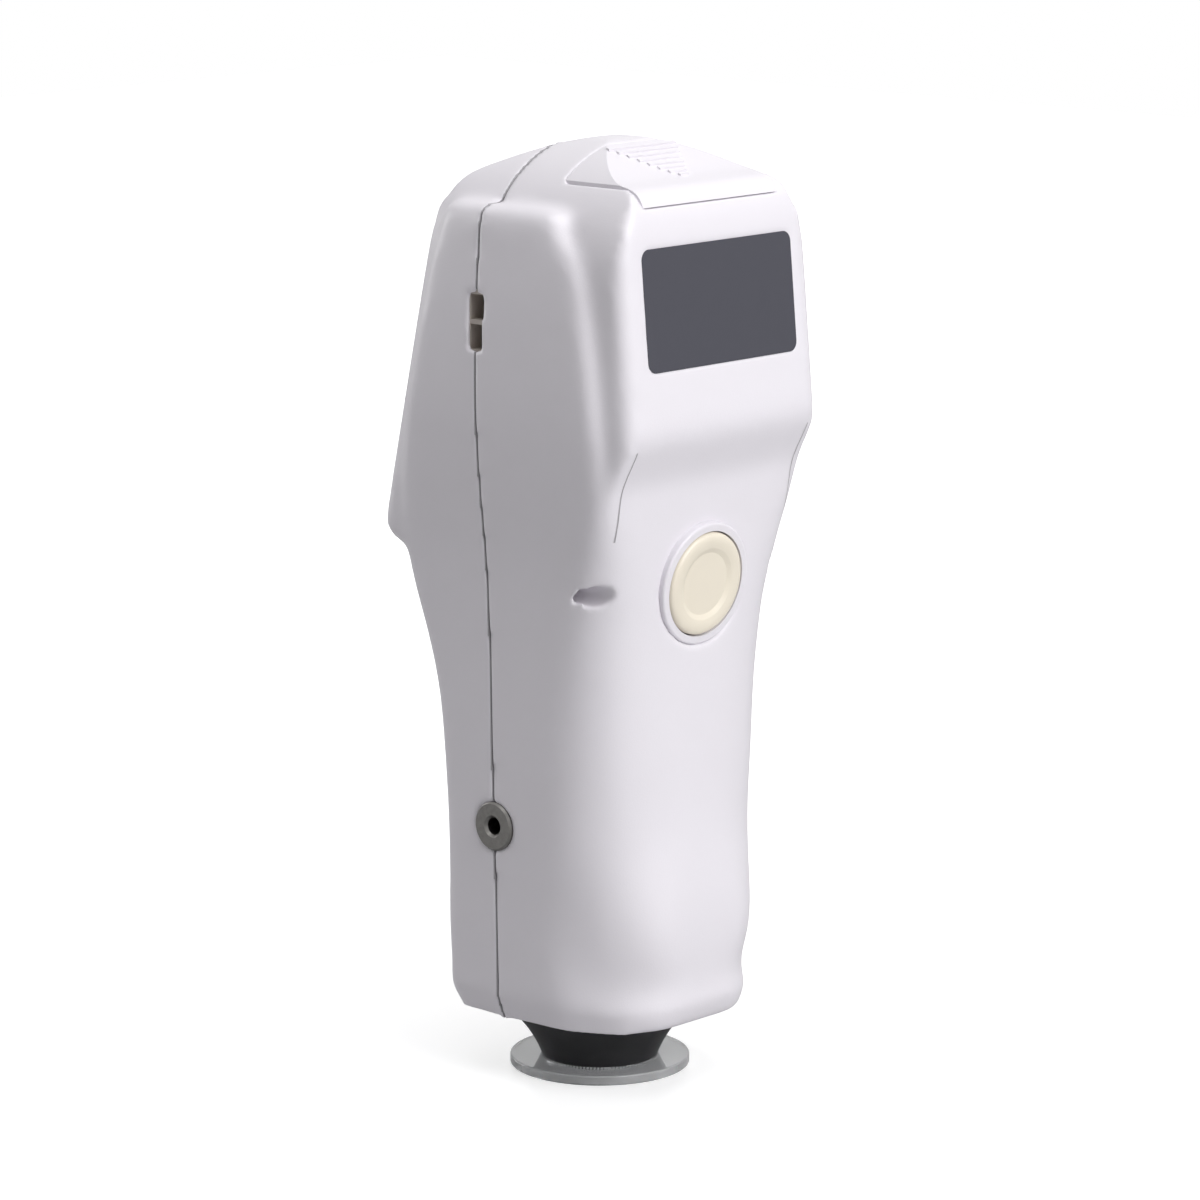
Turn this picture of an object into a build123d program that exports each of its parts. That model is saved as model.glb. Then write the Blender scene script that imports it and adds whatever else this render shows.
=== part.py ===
from build123d import *
import math
import os

# Portable colorimeter: a hand-held case in two moulded halves that stands on its measuring nose.
# Millimetres. +Z is up, the screen faces -Y, the measuring button faces +Y, the strap bar is on +X.
# The origin is the axis of the measuring aperture, on the surface that the nose rests on.

# Overall sizes; depths of the case are told from the seam between its two halves
TOP_Z = 230.0
SEAM_Y = -5.0
BASE_Z = 16.0
SKIRT_TOP_Z = 22.0
SKIRT_INSET = 2.4
SIDE_DRAFT = 0.9
FRONT_CORNER = 4.0

# Head block
HEAD_WIDTH = 69.2
HEAD_CORNER = 5.0
SCREEN_BOTTOM_Z = 134.0
SCREEN_BOTTOM_Y = SEAM_Y - 37.6
SCREEN_TILT = 12.7
SCREEN_TOP_Z = 217.5
BACK_BOTTOM_Z = 166.0
BACK_BOTTOM_Y = SEAM_Y + 46.1
BACK_TILT = 5.2
BACK_TOP_Z = 209.0

# Walls and fits
WALL = 2.4
HEAD_WALL = 3.0
FIT = 0.15
KEY_GAP = 0.25
BOSS_WALL = 1.8

# Measuring nose, locating ring and the optics above them
NOSE_TOP_RADIUS = 24.5
NOSE_TIP_RADIUS = 14.4
NOSE_SPIGOT_RADIUS = 18.0
NOSE_TOP_Z = 21.0
NOSE_BELLY = 1.2
APERTURE_RADIUS = 4.0
RING_RADIUS = 22.2
RING_THICKNESS = 2.4
GLASS_RADIUS = 6.0
GLASS_THICKNESS = 1.0
GLASS_Z = 1.6
LED_BOARD_RADIUS = 15.0
LED_BOARD_HOLE = 6.5
LED_BOARD_Z = 12.0
LED_COUNT = 8
LED_CIRCLE = 10.5
LED_SIZE = 2.4
BOARD_THICKNESS = 1.6
OPTICS_RADIUS = 13.0
OPTICS_FLANGE = 3.0
OPTICS_TOP_Z = 56.0
BARREL_RADIUS = 6.0
BARREL_HEAD_RADIUS = 8.5
BARREL_HEAD_HEIGHT = 4.0
BARREL_BORE = 3.0
OPTICS_SCREW_CIRCLE = 15.4

# Measuring button
BUTTON_Z = 125.15
BUTTON_Y = SEAM_Y + 38.4
BUTTON_TILT = 7.3
CAP_RADIUS = 12.7
CAP_DISC_RADIUS = 7.7
CAP_DISH = 0.8
CAP_PROUD = 1.6
CAP_THICKNESS = 2.4
CAP_SKIRT = 6.0
CAP_SKIRT_WALL = 1.4
CAP_CLEARANCE = 0.35
BEZEL_RADIUS = 15.2
BEZEL_LIP = 1.0
BEZEL_TUBE_RADIUS = 13.95
BEZEL_DEPTH = 13.0
BUTTON_TRAVEL = 1.2
STEM_RADIUS = 2.5
SWITCH_BOX = (6.0, 6.0, 3.4)

# Back label, strap bar, threaded insert and case screws
LABEL_WIDTH = 53.0
LABEL_HEIGHT = 28.9
LABEL_THICKNESS = 0.4
LABEL_CORNER = 2.5
LABEL_MID_Z = 193.4
SLOT_Z = 188.2
SLOT_HEIGHT = 13.2
SLOT_WIDTH = 4.8
SLOT_DEPTH = 9.0
SLOT_WALL = 1.2
SLOT_FACE_X = 37.2
STRAP_BAR = 1.1
STRAP_BAR_DEPTH = 2.2
INSERT_Z = 64.8
INSERT_FACE_X = 33.0
INSERT_FLANGE_RADIUS = 6.05
INSERT_FLANGE_THICKNESS = 1.5
INSERT_BORE_RADIUS = 2.1
INSERT_MOUTH_RADIUS = 2.75
INSERT_BODY_RADIUS = 4.2
INSERT_LENGTH = 12.0
WAIST_SCREW_X = 30.4
WAIST_SCREW_Z = 125.5
SCREW_WELL_RADIUS = 2.6
SCREW_HEAD_RADIUS = 2.3
SCREW_HEAD_HEIGHT = 1.8
SCREW_SHANK_RADIUS = 1.2
SCREW_SEAT = 20.0
SCREW_REACH = 10.0

# Battery and its cover
COVER_HALF_WIDTH = 24.0
COVER_FRONT_Y = SEAM_Y + 15.8
COVER_LOW_Z = 217.0
COVER_THICKNESS = 2.0
COVER_GAP = 0.2
COVER_TONGUE = 2.5
COVER_TONGUE_Z = 224.4
COVER_TONGUE_THICKNESS = 1.2
COVER_TONGUE_HALF_WIDTH = 6.0
COVER_TRAVEL = 32.0
RIB_COUNT = 8
RIB_PITCH = 1.9
RIB_HEIGHT = 0.5
RIB_BASE_WIDTH = 24.0
RIB_START_Y = SEAM_Y + 18.5
BATTERY_SIZE = (40.0, 14.0, 44.0)
BATTERY_Y = SEAM_Y + 26.5
BATTERY_BOTTOM_Z = 164.0
BATTERY_CORNER = 3.0
BATTERY_FIT = 0.3
CONTACT_THICKNESS = 0.4
CONTACT_SPACING = 16.0
HOLDER_WALL = 1.2
HOLDER_HEIGHT = 30.0

# Screen and keys, placed up the slope of the screen face
WINDOW_WIDTH = 54.0
WINDOW_HEIGHT = 42.0
WINDOW_UP = 57.0
WINDOW_THICKNESS = 1.2
WINDOW_LEDGE = 2.5
DISPLAY_THICKNESS = 4.5
KEY_LENGTH = 11.0
KEY_HEIGHT = 5.6
KEY_PROUD = 1.0
KEY_TRAVEL = 0.6
KEY_FLANGE = 0.8
KEY_FLANGE_THICKNESS = 0.8
KEY_PLACES = ((-18.0, 25.0), (0.0, 25.0), (18.0, 25.0), (-9.5, 15.0), (9.5, 15.0))
KEYPAD_SIZE = (52.0, 22.0)
KEYPAD_UP = 20.0
KEYPAD_RIM = 1.5
KEYPAD_THICKNESS = 1.0

# Boards inside
MAIN_BOARD_SIZE = (44.0, 64.0)
MAIN_BOARD_Z = 98.0
MAIN_BOARD_Y = SEAM_Y - 9.0
POST_RADIUS = 2.6
POST_SPACING = (36.0, 56.0)

# Power switch on the side away from the strap bar
SWITCH_Z = 176.0
SWITCH_Y = SEAM_Y - 12.0
SWITCH_TRAVEL = 3.0
SWITCH_RECESS = (9.0, 18.0)
SWITCH_RECESS_X = -37.2
SWITCH_WALL = 1.5
SWITCH_KNOB = (3.8, 5.0)
SWITCH_KNOB_X = -38.2
SWITCH_SLIDER = (7.0, 8.0)
SWITCH_SLIDER_THICKNESS = 1.4
SWITCH_GAP = 0.2
SWITCH_BODY_THICKNESS = 4.0

os.makedirs("parts", exist_ok=True)


def save(piece, name):
    """Label one finished piece and write it as its own file."""
    piece.part.label = name
    export_step(piece.part, f"parts/{name}.step")


def back_quarter(side, start_y, mid, mid_angle, end, reach):
    """Curve from the side wall round the rear corner to the flat of the back, in two Bezier spans."""
    turn = math.radians(mid_angle)
    step = (-math.sin(turn), math.cos(turn))
    first, before, after, last = reach
    Bezier(
        (side, start_y),
        (side, start_y + first),
        (mid[0] - before * step[0], mid[1] - before * step[1]),
        mid,
    )
    Bezier(
        mid,
        (mid[0] + after * step[0], mid[1] + after * step[1]),
        (end[0] + last, end[1]),
        end,
    )


def round_back(side, back, radius, full, crown):
    """Values of back_quarter for a plain rear corner, pushed outward by full and crowned to the middle."""
    lean = radius * (1 - math.sqrt(0.5))
    push = full * math.sqrt(0.5)
    mid = (side - lean + push, SEAM_Y + back - lean + push)
    arm = 0.2652 * radius
    end_x = max(side - radius - crown, 4.0)
    return dict(
        start_y=SEAM_Y + back - radius,
        mid=mid,
        mid_angle=45.0,
        end=(end_x, SEAM_Y + back),
        reach=(arm + full, arm + 0.4 * full, arm + 0.4 * full, arm + full + 0.5 * crown),
    )


def body_section(z, half, front, corner, quarter):
    """One level of the grip and its wings: two drafted side walls that meet at the seam."""
    with BuildSketch(Plane.XY.offset(z)) as level:
        with BuildLine():
            front_side = half - SIDE_DRAFT
            back_side = half - SIDE_DRAFT
            front_y = SEAM_Y - front
            Line((0, front_y), (front_side - corner, front_y))
            RadiusArc((front_side - corner, front_y), (front_side, front_y + corner), -corner)
            Line((front_side, front_y + corner), (half, SEAM_Y))
            Line((half, SEAM_Y), (back_side, quarter["start_y"]))
            back_quarter(back_side, **quarter)
            Line(quarter["end"], (0, quarter["end"][1]))
            mirror(about=Plane.YZ)
        make_face()
    return level.sketch


# Levels of the grip above the optics bulge: height, half width, front, back, corner, fullness, crown
GRIP_LEVELS = (
    (80.0, 33.2, 19.2, 38.0, 22.0, 0.0, 6.0),
    (96.0, 33.5, 20.8, 37.8, 21.6, 0.4, 6.0),
    (110.0, 33.9, 24.3, 37.8, 21.4, 1.2, 6.0),
    (122.0, 34.5, 28.0, 38.0, 20.0, 1.8, 5.0),
    (132.0, 35.2, 29.8, 38.6, 16.0, 1.8, 5.0),
    (142.0, 36.4, 29.4, 39.4, 11.5, 1.4, 4.0),
    (152.0, 37.5, 28.2, 39.9, 8.0, 0.8, 3.0),
    (166.0, 38.5, 25.8, 38.6, 5.0, 0.0, 2.0),
    (182.0, 38.5, 22.6, 36.2, 4.5, 0.0, 2.0),
    (196.0, 38.0, 19.4, 33.6, 4.4, 0.0, 2.0),
    (206.0, 37.2, 17.0, 29.6, 4.4, 0.0, 2.0),
)
SHOULDER_RADIUS = 4.0
SHOULDER_Z = 212.0
SHOULDER_HALF = 36.6
SHOULDER_FRONT = 15.4
SHOULDER_BACK = 24.6


def bulge_quarter(side, rise):
    """Rear corner at the base: a rail, a shallow valley, then the flank of the optics bulge."""
    return dict(
        start_y=SEAM_Y + 13.6,
        mid=(side - 4.3, SEAM_Y + 26.6 + rise),
        mid_angle=26.0,
        end=(9.0, SEAM_Y + 40.0),
        reach=(4.6, 3.4, 6.0, 9.0),
    )


with BuildPart() as body_form:
    add(body_section(SKIRT_TOP_Z, 31.6, 19.0, FRONT_CORNER, bulge_quarter(30.7, 0.0)))
    add(body_section(34.0, 31.8, 19.0, FRONT_CORNER, bulge_quarter(30.9, 0.3)))
    add(body_section(48.0, 32.2, 18.8, FRONT_CORNER, bulge_quarter(31.3, 1.6)))
    add(body_section(64.0, 32.7, 18.6, FRONT_CORNER, round_back(31.8, 38.6, 22.4, -0.6, 6.0)))
    for z, half, front, back, corner, full, crown in GRIP_LEVELS:
        quarter = round_back(half - SIDE_DRAFT, back, corner, full, crown)
        add(body_section(z, half, front, FRONT_CORNER, quarter))
    for degrees in (0, 30, 58, 80):
        bend = math.radians(degrees)
        inset = SHOULDER_RADIUS * (1 - math.cos(bend))
        half = SHOULDER_HALF - inset
        corner = 4.6 - 0.6 * inset
        quarter = round_back(half - SIDE_DRAFT, SHOULDER_BACK - 1.6 * inset, corner, 0.0, 2.0)
        level = SHOULDER_Z + SHOULDER_RADIUS * math.sin(bend)
        add(body_section(level, half, SHOULDER_FRONT - inset, corner, quarter))
    loft()

with BuildPart() as skirt_form:
    base_quarter = bulge_quarter(30.7, 0.0)
    add(body_section(SKIRT_TOP_Z, 31.6, 19.0, FRONT_CORNER, base_quarter))
    low_quarter = dict(
        start_y=base_quarter["start_y"],
        mid=(base_quarter["mid"][0] - 2.2, base_quarter["mid"][1] - 1.1),
        mid_angle=26.0,
        end=(9.0, SEAM_Y + 40.0 - SKIRT_INSET),
        reach=base_quarter["reach"],
    )
    add(body_section(BASE_Z, 31.6 - SKIRT_INSET, 19.0 - SKIRT_INSET, FRONT_CORNER, low_quarter))
    loft(ruled=True)


SCREEN_LEAN = math.tan(math.radians(SCREEN_TILT))
BACK_LEAN = math.tan(math.radians(BACK_TILT))


def screen_y(z):
    """Place of the sloping screen face at a height."""
    return SCREEN_BOTTOM_Y + (z - SCREEN_BOTTOM_Z) * SCREEN_LEAN


def back_y(z):
    """Place of the head's sloping back at a height."""
    return BACK_BOTTOM_Y - (z - BACK_BOTTOM_Z) * BACK_LEAN


def head_side_outline(inset):
    """Side view of the head: screen slope, arched top, sloping back and its soft underside."""
    with BuildSketch(Plane.YZ) as outline:
        with BuildLine():
            screen_low = (screen_y(SCREEN_BOTTOM_Z + 4) + inset, SCREEN_BOTTOM_Z + 4)
            screen_top = (screen_y(SCREEN_TOP_Z) + inset, SCREEN_TOP_Z)
            back_top = (back_y(BACK_TOP_Z) - inset, BACK_TOP_Z)
            back_low = (back_y(BACK_BOTTOM_Z) - inset, BACK_BOTTOM_Z)
            under_low = (SEAM_Y + 38.5 - inset, 147.0)
            under_front = (SEAM_Y - 26.0, SCREEN_BOTTOM_Z - 3.5 + inset)
            Line(screen_low, screen_top)
            Spline(
                screen_top,
                (SEAM_Y - 12, 223.6 - inset),
                (SEAM_Y + 12, TOP_Z - inset),
                (SEAM_Y + 33, 222.0 - inset),
                back_top,
                tangents=((SCREEN_LEAN, 1.0), (BACK_LEAN, -1.0)),
            )
            Line(back_top, back_low)
            Spline(
                back_low,
                (SEAM_Y + 43.2 - inset, 157.5),
                under_low,
                tangents=((BACK_LEAN, -1.0), (-0.3, -1.0)),
            )
            Polyline(under_low, (SEAM_Y + 24, 138.0), (SEAM_Y - 20, under_front[1]), under_front)
            Spline(
                under_front,
                (screen_low[0] + 1.6, SCREEN_BOTTOM_Z - 1.0 + 0.5 * inset),
                screen_low,
                tangents=((-1.0, 0.0), (SCREEN_LEAN, 1.0)),
            )
        make_face()
    return outline.sketch


def head_front_outline(inset):
    """Front view of the head: side walls that draw in slightly, under a crowned top."""
    half = HEAD_WIDTH / 2 - inset
    with BuildSketch(Plane.XZ) as outline:
        with BuildLine():
            Line((0, 120), (half - 1.2, 120))
            Line((half - 1.2, 120), (half, 168))
            Line((half, 168), (half - 0.6, 200))
            Bezier(
                (half - 0.6, 200),
                (half - 0.9, 215 - inset),
                (half - 10.0, TOP_Z - 2.4 - inset),
                (0, TOP_Z + 1.0 - inset),
            )
            mirror(about=Plane.YZ)
        make_face()
    return outline.sketch


def head_solid(inset):
    """The head where its side view and its front view agree."""
    with BuildPart() as head:
        extrude(head_side_outline(inset), amount=HEAD_WIDTH, both=True)
        extrude(head_front_outline(inset), amount=120, both=True, mode=Mode.INTERSECT)
    return head.part


def face_plane(y, z, tilt, forward):
    """Plane on a sloping face, its X to the right as seen from outside and its Y up the slope."""
    lean = math.radians(tilt)
    return Plane(
        origin=(0, y, z),
        x_dir=(-forward, 0, 0),
        z_dir=(0, forward * math.cos(lean), math.sin(lean)),
    )


screen_face = face_plane(SCREEN_BOTTOM_Y, SCREEN_BOTTOM_Z, SCREEN_TILT, -1)
back_face = face_plane(BACK_BOTTOM_Y, BACK_BOTTOM_Z, BACK_TILT, 1)
button_face = face_plane(BUTTON_Y, BUTTON_Z, -BUTTON_TILT, 1)

with BuildPart() as head_form:
    add(head_solid(0.0))
    for lean_y, tilt, side in ((screen_y(BASE_Z), SCREEN_TILT, 1), (back_y(BASE_Z), -BACK_TILT, -1)):
        lean = math.radians(tilt)
        upright = Plane(
            origin=(0, lean_y, BASE_Z),
            x_dir=(1, 0, 0),
            z_dir=(0, math.sin(lean), math.cos(lean)),
        )
        with BuildSketch(upright):
            with Locations((0, side * 100)):
                RectangleRounded(HEAD_WIDTH, 200, HEAD_CORNER)
        extrude(amount=300, mode=Mode.INTERSECT)

with BuildPart() as case_form:
    add(body_form.part)
    add(skirt_form.part)
    add(head_form.part)

# Levels of the hollow: height, half width, front, back, rear corner
HOLLOW_LEVELS = (
    (BASE_Z + WALL, 31.0, 18.8, 31.6, 16.0),
    (80.0, 33.0, 19.2, 38.0, 22.0),
    (112.0, 33.9, 24.6, 37.6, 21.0),
    (140.0, 36.0, 28.0, 38.4, 15.0),
    (164.0, 38.2, 24.8, 38.2, 8.0),
    (196.0, 37.9, 18.8, 32.6, 6.0),
    (211.0, 36.2, 15.2, 25.6, 6.0),
)

with BuildPart() as hollow:
    for z, half, front, back, radius in HOLLOW_LEVELS:
        with BuildSketch(Plane.XY.offset(z)) as level:
            with BuildLine():
                side = half - SIDE_DRAFT - WALL
                front_y = SEAM_Y - front + WALL
                back_y_level = SEAM_Y + back - WALL
                Polyline((0, front_y), (side, front_y), (half - WALL, SEAM_Y), (side, back_y_level - radius))
                RadiusArc((side, back_y_level - radius), (side - radius, back_y_level), -radius)
                Line((side - radius, back_y_level), (0, back_y_level))
                mirror(about=Plane.YZ)
            make_face()
    loft(ruled=True)
    add(head_solid(HEAD_WALL))


SCREEN_WALL = HEAD_WALL * math.cos(math.radians(SCREEN_TILT))
BEZEL_BORE = CAP_RADIUS + CAP_CLEARANCE
seam = Plane.XZ.offset(-SEAM_Y)
insert_face = Plane(origin=(INSERT_FACE_X, SEAM_Y, INSERT_Z), x_dir=(0, 1, 0), z_dir=(1, 0, 0))
slot_face = Plane(origin=(SLOT_FACE_X, SEAM_Y, SLOT_Z), x_dir=(0, 1, 0), z_dir=(1, 0, 0))
switch_face = Plane(origin=(SWITCH_RECESS_X, SWITCH_Y, SWITCH_Z), x_dir=(0, -1, 0), z_dir=(-1, 0, 0))
label_centre = (0, (LABEL_MID_Z - BACK_BOTTOM_Z) / math.cos(math.radians(BACK_TILT)))
cover_plane = Plane.XY.offset(COVER_LOW_Z)

with BuildPart() as side_bosses:
    with BuildSketch(insert_face.offset(-INSERT_LENGTH)):
        Circle(INSERT_BODY_RADIUS + BOSS_WALL)
    extrude(amount=INSERT_LENGTH)
    with BuildSketch(slot_face.offset(-SLOT_DEPTH - SLOT_WALL)):
        Rectangle(SLOT_WIDTH + 4 * SLOT_WALL, SLOT_HEIGHT + 4 * SLOT_WALL)
    extrude(amount=SLOT_DEPTH + SLOT_WALL + 1.0)
    add(case_form.part, mode=Mode.INTERSECT)

with BuildPart() as side_cuts:
    with BuildSketch(insert_face.offset(-INSERT_FLANGE_THICKNESS)):
        Circle(INSERT_FLANGE_RADIUS + FIT)
    extrude(amount=4 * INSERT_FLANGE_THICKNESS)
    with BuildSketch(insert_face.offset(-INSERT_LENGTH - WALL)):
        Circle(INSERT_BODY_RADIUS)
    extrude(amount=INSERT_LENGTH + WALL)
    with BuildSketch(slot_face.offset(-SLOT_DEPTH - 2 * SLOT_WALL)):
        Rectangle(SLOT_WIDTH + 2 * SLOT_WALL, SLOT_HEIGHT + 2 * SLOT_WALL)
    extrude(amount=SLOT_DEPTH + 2 * SLOT_WALL)
    with BuildSketch(slot_face):
        Rectangle(SLOT_WIDTH, SLOT_HEIGHT)
    extrude(amount=5 * SLOT_WALL)
    with BuildSketch(Plane.XY.offset(BASE_Z - WALL)):
        Circle(NOSE_SPIGOT_RADIUS + FIT)
    extrude(amount=3 * WALL)

WELL_SIGNS = (-1, 1)

with BuildPart() as front_posts:
    with BuildSketch(Plane.XZ.offset(-MAIN_BOARD_Y)):
        with Locations((0, MAIN_BOARD_Z)):
            with GridLocations(*POST_SPACING, 2, 2):
                Circle(POST_RADIUS)
    extrude(amount=60)
    with BuildSketch(seam):
        with Locations(*[(sign * WAIST_SCREW_X, WAIST_SCREW_Z) for sign in WELL_SIGNS]):
            Circle(SCREW_SHANK_RADIUS + BOSS_WALL)
    extrude(amount=60)
    with BuildSketch(switch_face.offset(-SWITCH_WALL - SWITCH_SLIDER_THICKNESS - SWITCH_GAP)):
        RectangleRounded(SWITCH_RECESS[0] + 4, SWITCH_RECESS[1] + 4, 2)
    extrude(amount=12)
    add(case_form.part, mode=Mode.INTERSECT)

with BuildPart() as front_shell:
    add(case_form.part)
    split(bisect_by=seam, keep=Keep.TOP)
    add(hollow.part, mode=Mode.SUBTRACT)
    add(side_bosses.part)
    add(front_posts.part)
    split(bisect_by=seam, keep=Keep.TOP)
    add(side_cuts.part, mode=Mode.SUBTRACT)
    with BuildSketch(seam):
        with Locations(*[(sign * WAIST_SCREW_X, WAIST_SCREW_Z) for sign in WELL_SIGNS]):
            Circle(SCREW_SHANK_RADIUS)
    extrude(amount=SCREW_REACH, mode=Mode.SUBTRACT)
    with BuildSketch(screen_face.offset(-WINDOW_THICKNESS)):
        with Locations((0, WINDOW_UP)):
            RectangleRounded(WINDOW_WIDTH, WINDOW_HEIGHT, 3)
    extrude(amount=10, mode=Mode.SUBTRACT)
    with BuildSketch(screen_face.offset(-2 * SCREEN_WALL)):
        with Locations((0, WINDOW_UP)):
            RectangleRounded(WINDOW_WIDTH - 2 * WINDOW_LEDGE, WINDOW_HEIGHT - 2 * WINDOW_LEDGE, 1)
        with Locations(*KEY_PLACES):
            RectangleRounded(KEY_LENGTH + 2 * KEY_GAP, KEY_HEIGHT + 2 * KEY_GAP, 2)
    extrude(amount=4 * SCREEN_WALL, mode=Mode.SUBTRACT)
    with BuildSketch(switch_face):
        RectangleRounded(*SWITCH_RECESS, 2)
    extrude(amount=6, mode=Mode.SUBTRACT)
    with BuildSketch(switch_face.offset(-SWITCH_WALL - SWITCH_SLIDER_THICKNESS - SWITCH_GAP)):
        Rectangle(SWITCH_SLIDER[0] + 0.6, SWITCH_SLIDER[1] + SWITCH_TRAVEL + 0.8)
    extrude(amount=SWITCH_SLIDER_THICKNESS + SWITCH_GAP, mode=Mode.SUBTRACT)
    with BuildSketch(switch_face.offset(-6)):
        Rectangle(SWITCH_KNOB[0] + 0.6, SWITCH_KNOB[1] + SWITCH_TRAVEL + 0.6)
    extrude(amount=12, mode=Mode.SUBTRACT)
save(front_shell, "front_shell")

with BuildPart() as rear_bosses:
    with BuildSketch(button_face.offset(-BEZEL_DEPTH)):
        Circle(BEZEL_RADIUS + BOSS_WALL)
    extrude(amount=BEZEL_DEPTH)
    with BuildSketch(Plane.XY.offset(BATTERY_BOTTOM_Z - CONTACT_THICKNESS - HOLDER_WALL - WALL)):
        with Locations((0, BATTERY_Y + 20)):
            Rectangle(BATTERY_SIZE[0] + 6, BATTERY_SIZE[1] + 46)
    extrude(amount=WALL)
    with BuildSketch(Plane.XZ.offset(-SEAM_Y - SCREW_SEAT - 24)):
        with Locations(*[(sign * WAIST_SCREW_X, WAIST_SCREW_Z) for sign in WELL_SIGNS]):
            Circle(SCREW_WELL_RADIUS + 0.9)
    extrude(amount=SCREW_SEAT + 24)
    add(case_form.part, mode=Mode.INTERSECT)

with BuildPart() as cover_blank:
    add(head_form.part)
    with BuildSketch(Plane.YZ):
        with Locations((COVER_FRONT_Y + 40, COVER_LOW_Z + 20)):
            Rectangle(80, 40)
    extrude(amount=COVER_HALF_WIDTH, both=True, mode=Mode.INTERSECT)

with BuildPart() as cover_pocket:
    add(head_solid(COVER_THICKNESS))

with BuildPart() as rear_shell:
    add(case_form.part)
    split(bisect_by=seam, keep=Keep.BOTTOM)
    add(hollow.part, mode=Mode.SUBTRACT)
    add(side_bosses.part)
    add(rear_bosses.part)
    split(bisect_by=seam, keep=Keep.BOTTOM)
    add(side_cuts.part, mode=Mode.SUBTRACT)
    add(cover_blank.part, mode=Mode.SUBTRACT)
    with BuildSketch(button_face.offset(-BEZEL_LIP)):
        Circle(BEZEL_RADIUS)
    extrude(amount=12, mode=Mode.SUBTRACT)
    with BuildSketch(button_face.offset(-2 * BEZEL_DEPTH)):
        Circle(BEZEL_TUBE_RADIUS)
    extrude(amount=2 * BEZEL_DEPTH, mode=Mode.SUBTRACT)
    with BuildSketch(back_face.offset(-LABEL_THICKNESS)):
        with Locations(label_centre):
            RectangleRounded(LABEL_WIDTH + 2 * FIT, LABEL_HEIGHT + 2 * FIT, LABEL_CORNER + FIT)
    extrude(amount=6, mode=Mode.SUBTRACT)
    with BuildSketch(Plane.XZ.offset(-SEAM_Y - SCREW_SEAT - 40)):
        with Locations(*[(sign * WAIST_SCREW_X, WAIST_SCREW_Z) for sign in WELL_SIGNS]):
            Circle(SCREW_WELL_RADIUS)
    extrude(amount=40, mode=Mode.SUBTRACT)
    with BuildSketch(Plane.XZ.offset(-SEAM_Y - SCREW_SEAT)):
        with Locations(*[(sign * WAIST_SCREW_X, WAIST_SCREW_Z) for sign in WELL_SIGNS]):
            Circle(SCREW_SHANK_RADIUS + FIT)
    extrude(amount=SCREW_SEAT, mode=Mode.SUBTRACT)
save(rear_shell, "rear_shell")

with BuildPart() as cover_ribs:
    add(head_solid(-RIB_HEIGHT))
    with BuildSketch(Plane.XY.offset(COVER_LOW_Z)):
        for row in range(RIB_COUNT):
            with Locations((0, RIB_START_Y + row * RIB_PITCH)):
                Rectangle(RIB_BASE_WIDTH * (1 - row / RIB_COUNT), RIB_PITCH / 2)
    extrude(amount=40, mode=Mode.INTERSECT)

with BuildPart() as battery_cover:
    add(cover_blank.part)
    with BuildSketch(Plane.YZ):
        with Locations((COVER_FRONT_Y + COVER_GAP + 40, COVER_LOW_Z + COVER_GAP + 20)):
            Rectangle(80, 40)
    extrude(amount=COVER_HALF_WIDTH - COVER_GAP, both=True, mode=Mode.INTERSECT)
    add(cover_ribs.part)
    add(cover_pocket.part, mode=Mode.SUBTRACT)
    with BuildSketch(Plane.YZ):
        with BuildLine():
            Polyline(
                (COVER_FRONT_Y - COVER_TONGUE, COVER_TONGUE_Z),
                (COVER_FRONT_Y + COVER_GAP + COVER_TONGUE, COVER_TONGUE_Z),
                (COVER_FRONT_Y + COVER_GAP + COVER_TONGUE, COVER_TONGUE_Z + 3.0),
                (COVER_FRONT_Y + COVER_GAP, COVER_TONGUE_Z + 3.0),
                (COVER_FRONT_Y + COVER_GAP, COVER_TONGUE_Z + COVER_TONGUE_THICKNESS),
                (COVER_FRONT_Y - COVER_TONGUE, COVER_TONGUE_Z + COVER_TONGUE_THICKNESS),
                close=True,
            )
        make_face()
    extrude(amount=COVER_TONGUE_HALF_WIDTH, both=True)
save(battery_cover, "battery_cover")

battery_centre = (0, BATTERY_Y)
holder_size = [value + 2 * BATTERY_FIT for value in BATTERY_SIZE[:2]]

with BuildPart() as battery_pack:
    with BuildSketch(Plane.XY.offset(BATTERY_BOTTOM_Z)):
        with Locations(battery_centre):
            RectangleRounded(*BATTERY_SIZE[:2], BATTERY_CORNER)
    extrude(amount=BATTERY_SIZE[2])
save(battery_pack, "battery_pack")

with BuildPart() as battery_holder:
    floor_z = BATTERY_BOTTOM_Z - CONTACT_THICKNESS - HOLDER_WALL
    with BuildSketch(Plane.XY.offset(floor_z)):
        with Locations(battery_centre):
            RectangleRounded(*[value + 2 * HOLDER_WALL for value in holder_size], BATTERY_CORNER + HOLDER_WALL)
    extrude(amount=HOLDER_HEIGHT)
    with BuildSketch(Plane.XY.offset(floor_z + HOLDER_WALL)):
        with Locations(battery_centre):
            RectangleRounded(*holder_size, BATTERY_CORNER)
    extrude(amount=HOLDER_HEIGHT, mode=Mode.SUBTRACT)
save(battery_holder, "battery_holder")

with BuildPart() as battery_contacts:
    with BuildSketch(Plane.XY.offset(BATTERY_BOTTOM_Z - CONTACT_THICKNESS)):
        with Locations(battery_centre):
            with GridLocations(CONTACT_SPACING, 0, 2, 1):
                RectangleRounded(6, 8, 1)
    extrude(amount=CONTACT_THICKNESS)
save(battery_contacts, "battery_contacts")

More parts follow.
